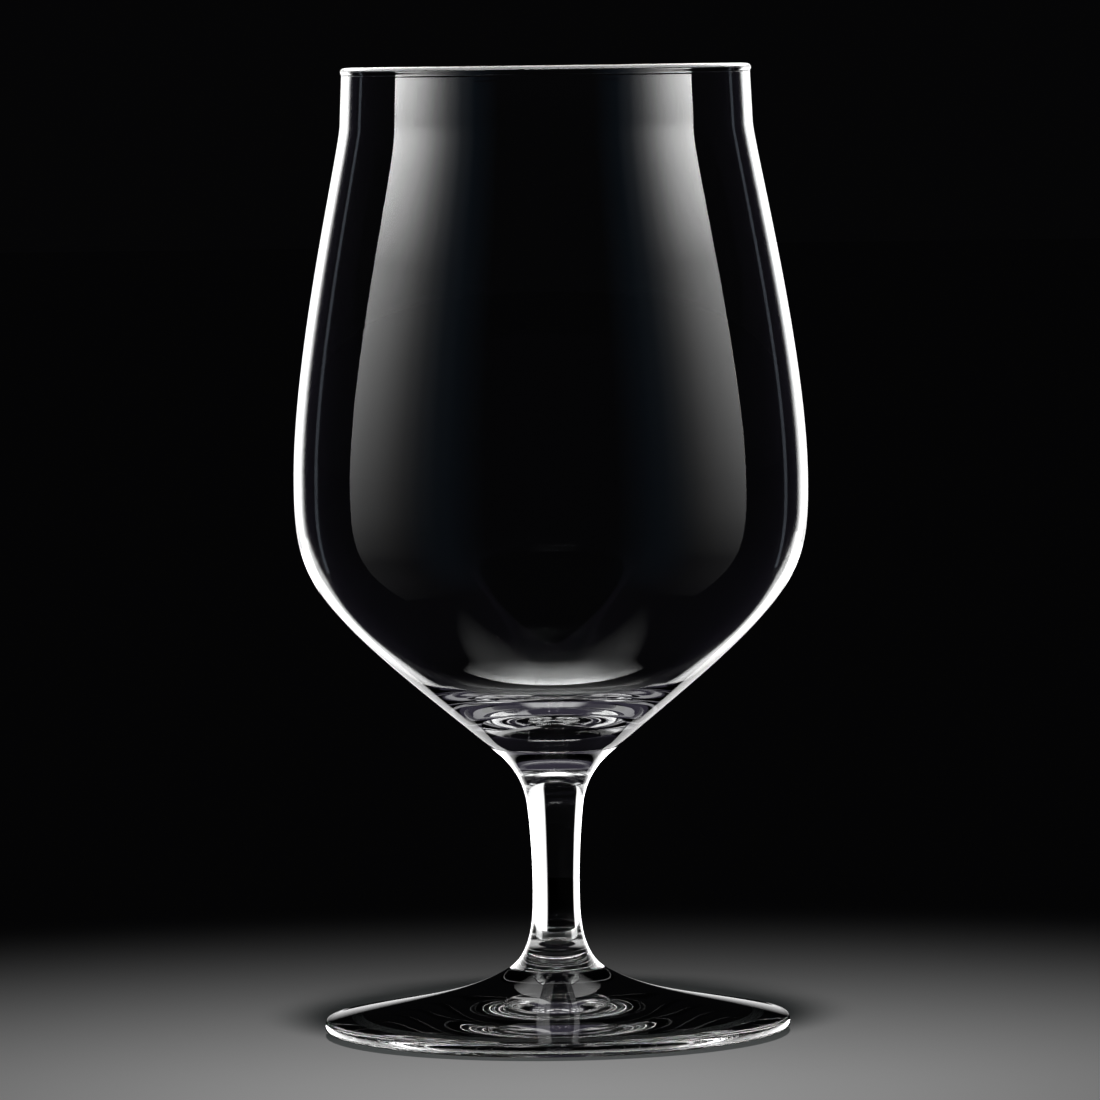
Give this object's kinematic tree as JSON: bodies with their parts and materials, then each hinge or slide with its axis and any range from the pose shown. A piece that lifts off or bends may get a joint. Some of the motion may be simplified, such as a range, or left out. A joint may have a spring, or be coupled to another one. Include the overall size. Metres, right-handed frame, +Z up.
{
  "type": "tulip beer glass",
  "caption": "Stemmed tulip beer glass in clear crystal glass: full-bellied bowl with a straight mouth on a slim drawn stem and a round foot, for drinking beer.",
  "frame": {"origin": "centre of the resting plane under the foot, on the axis of revolution", "axes": "+Z up along the axis of revolution, from the foot to the mouth; X and Y are free because the glass is a body of revolution"},
  "size_m": [0.088, 0.088, 0.166],
  "materials": {
    "clear_glass": "clear fire-polished crystal glass, smooth and glossy"
  },
  "bodies": {
    "root": {"bowl": "clear_glass", "stem": "clear_glass", "foot": "clear_glass"}
  },
  "joints": []
}
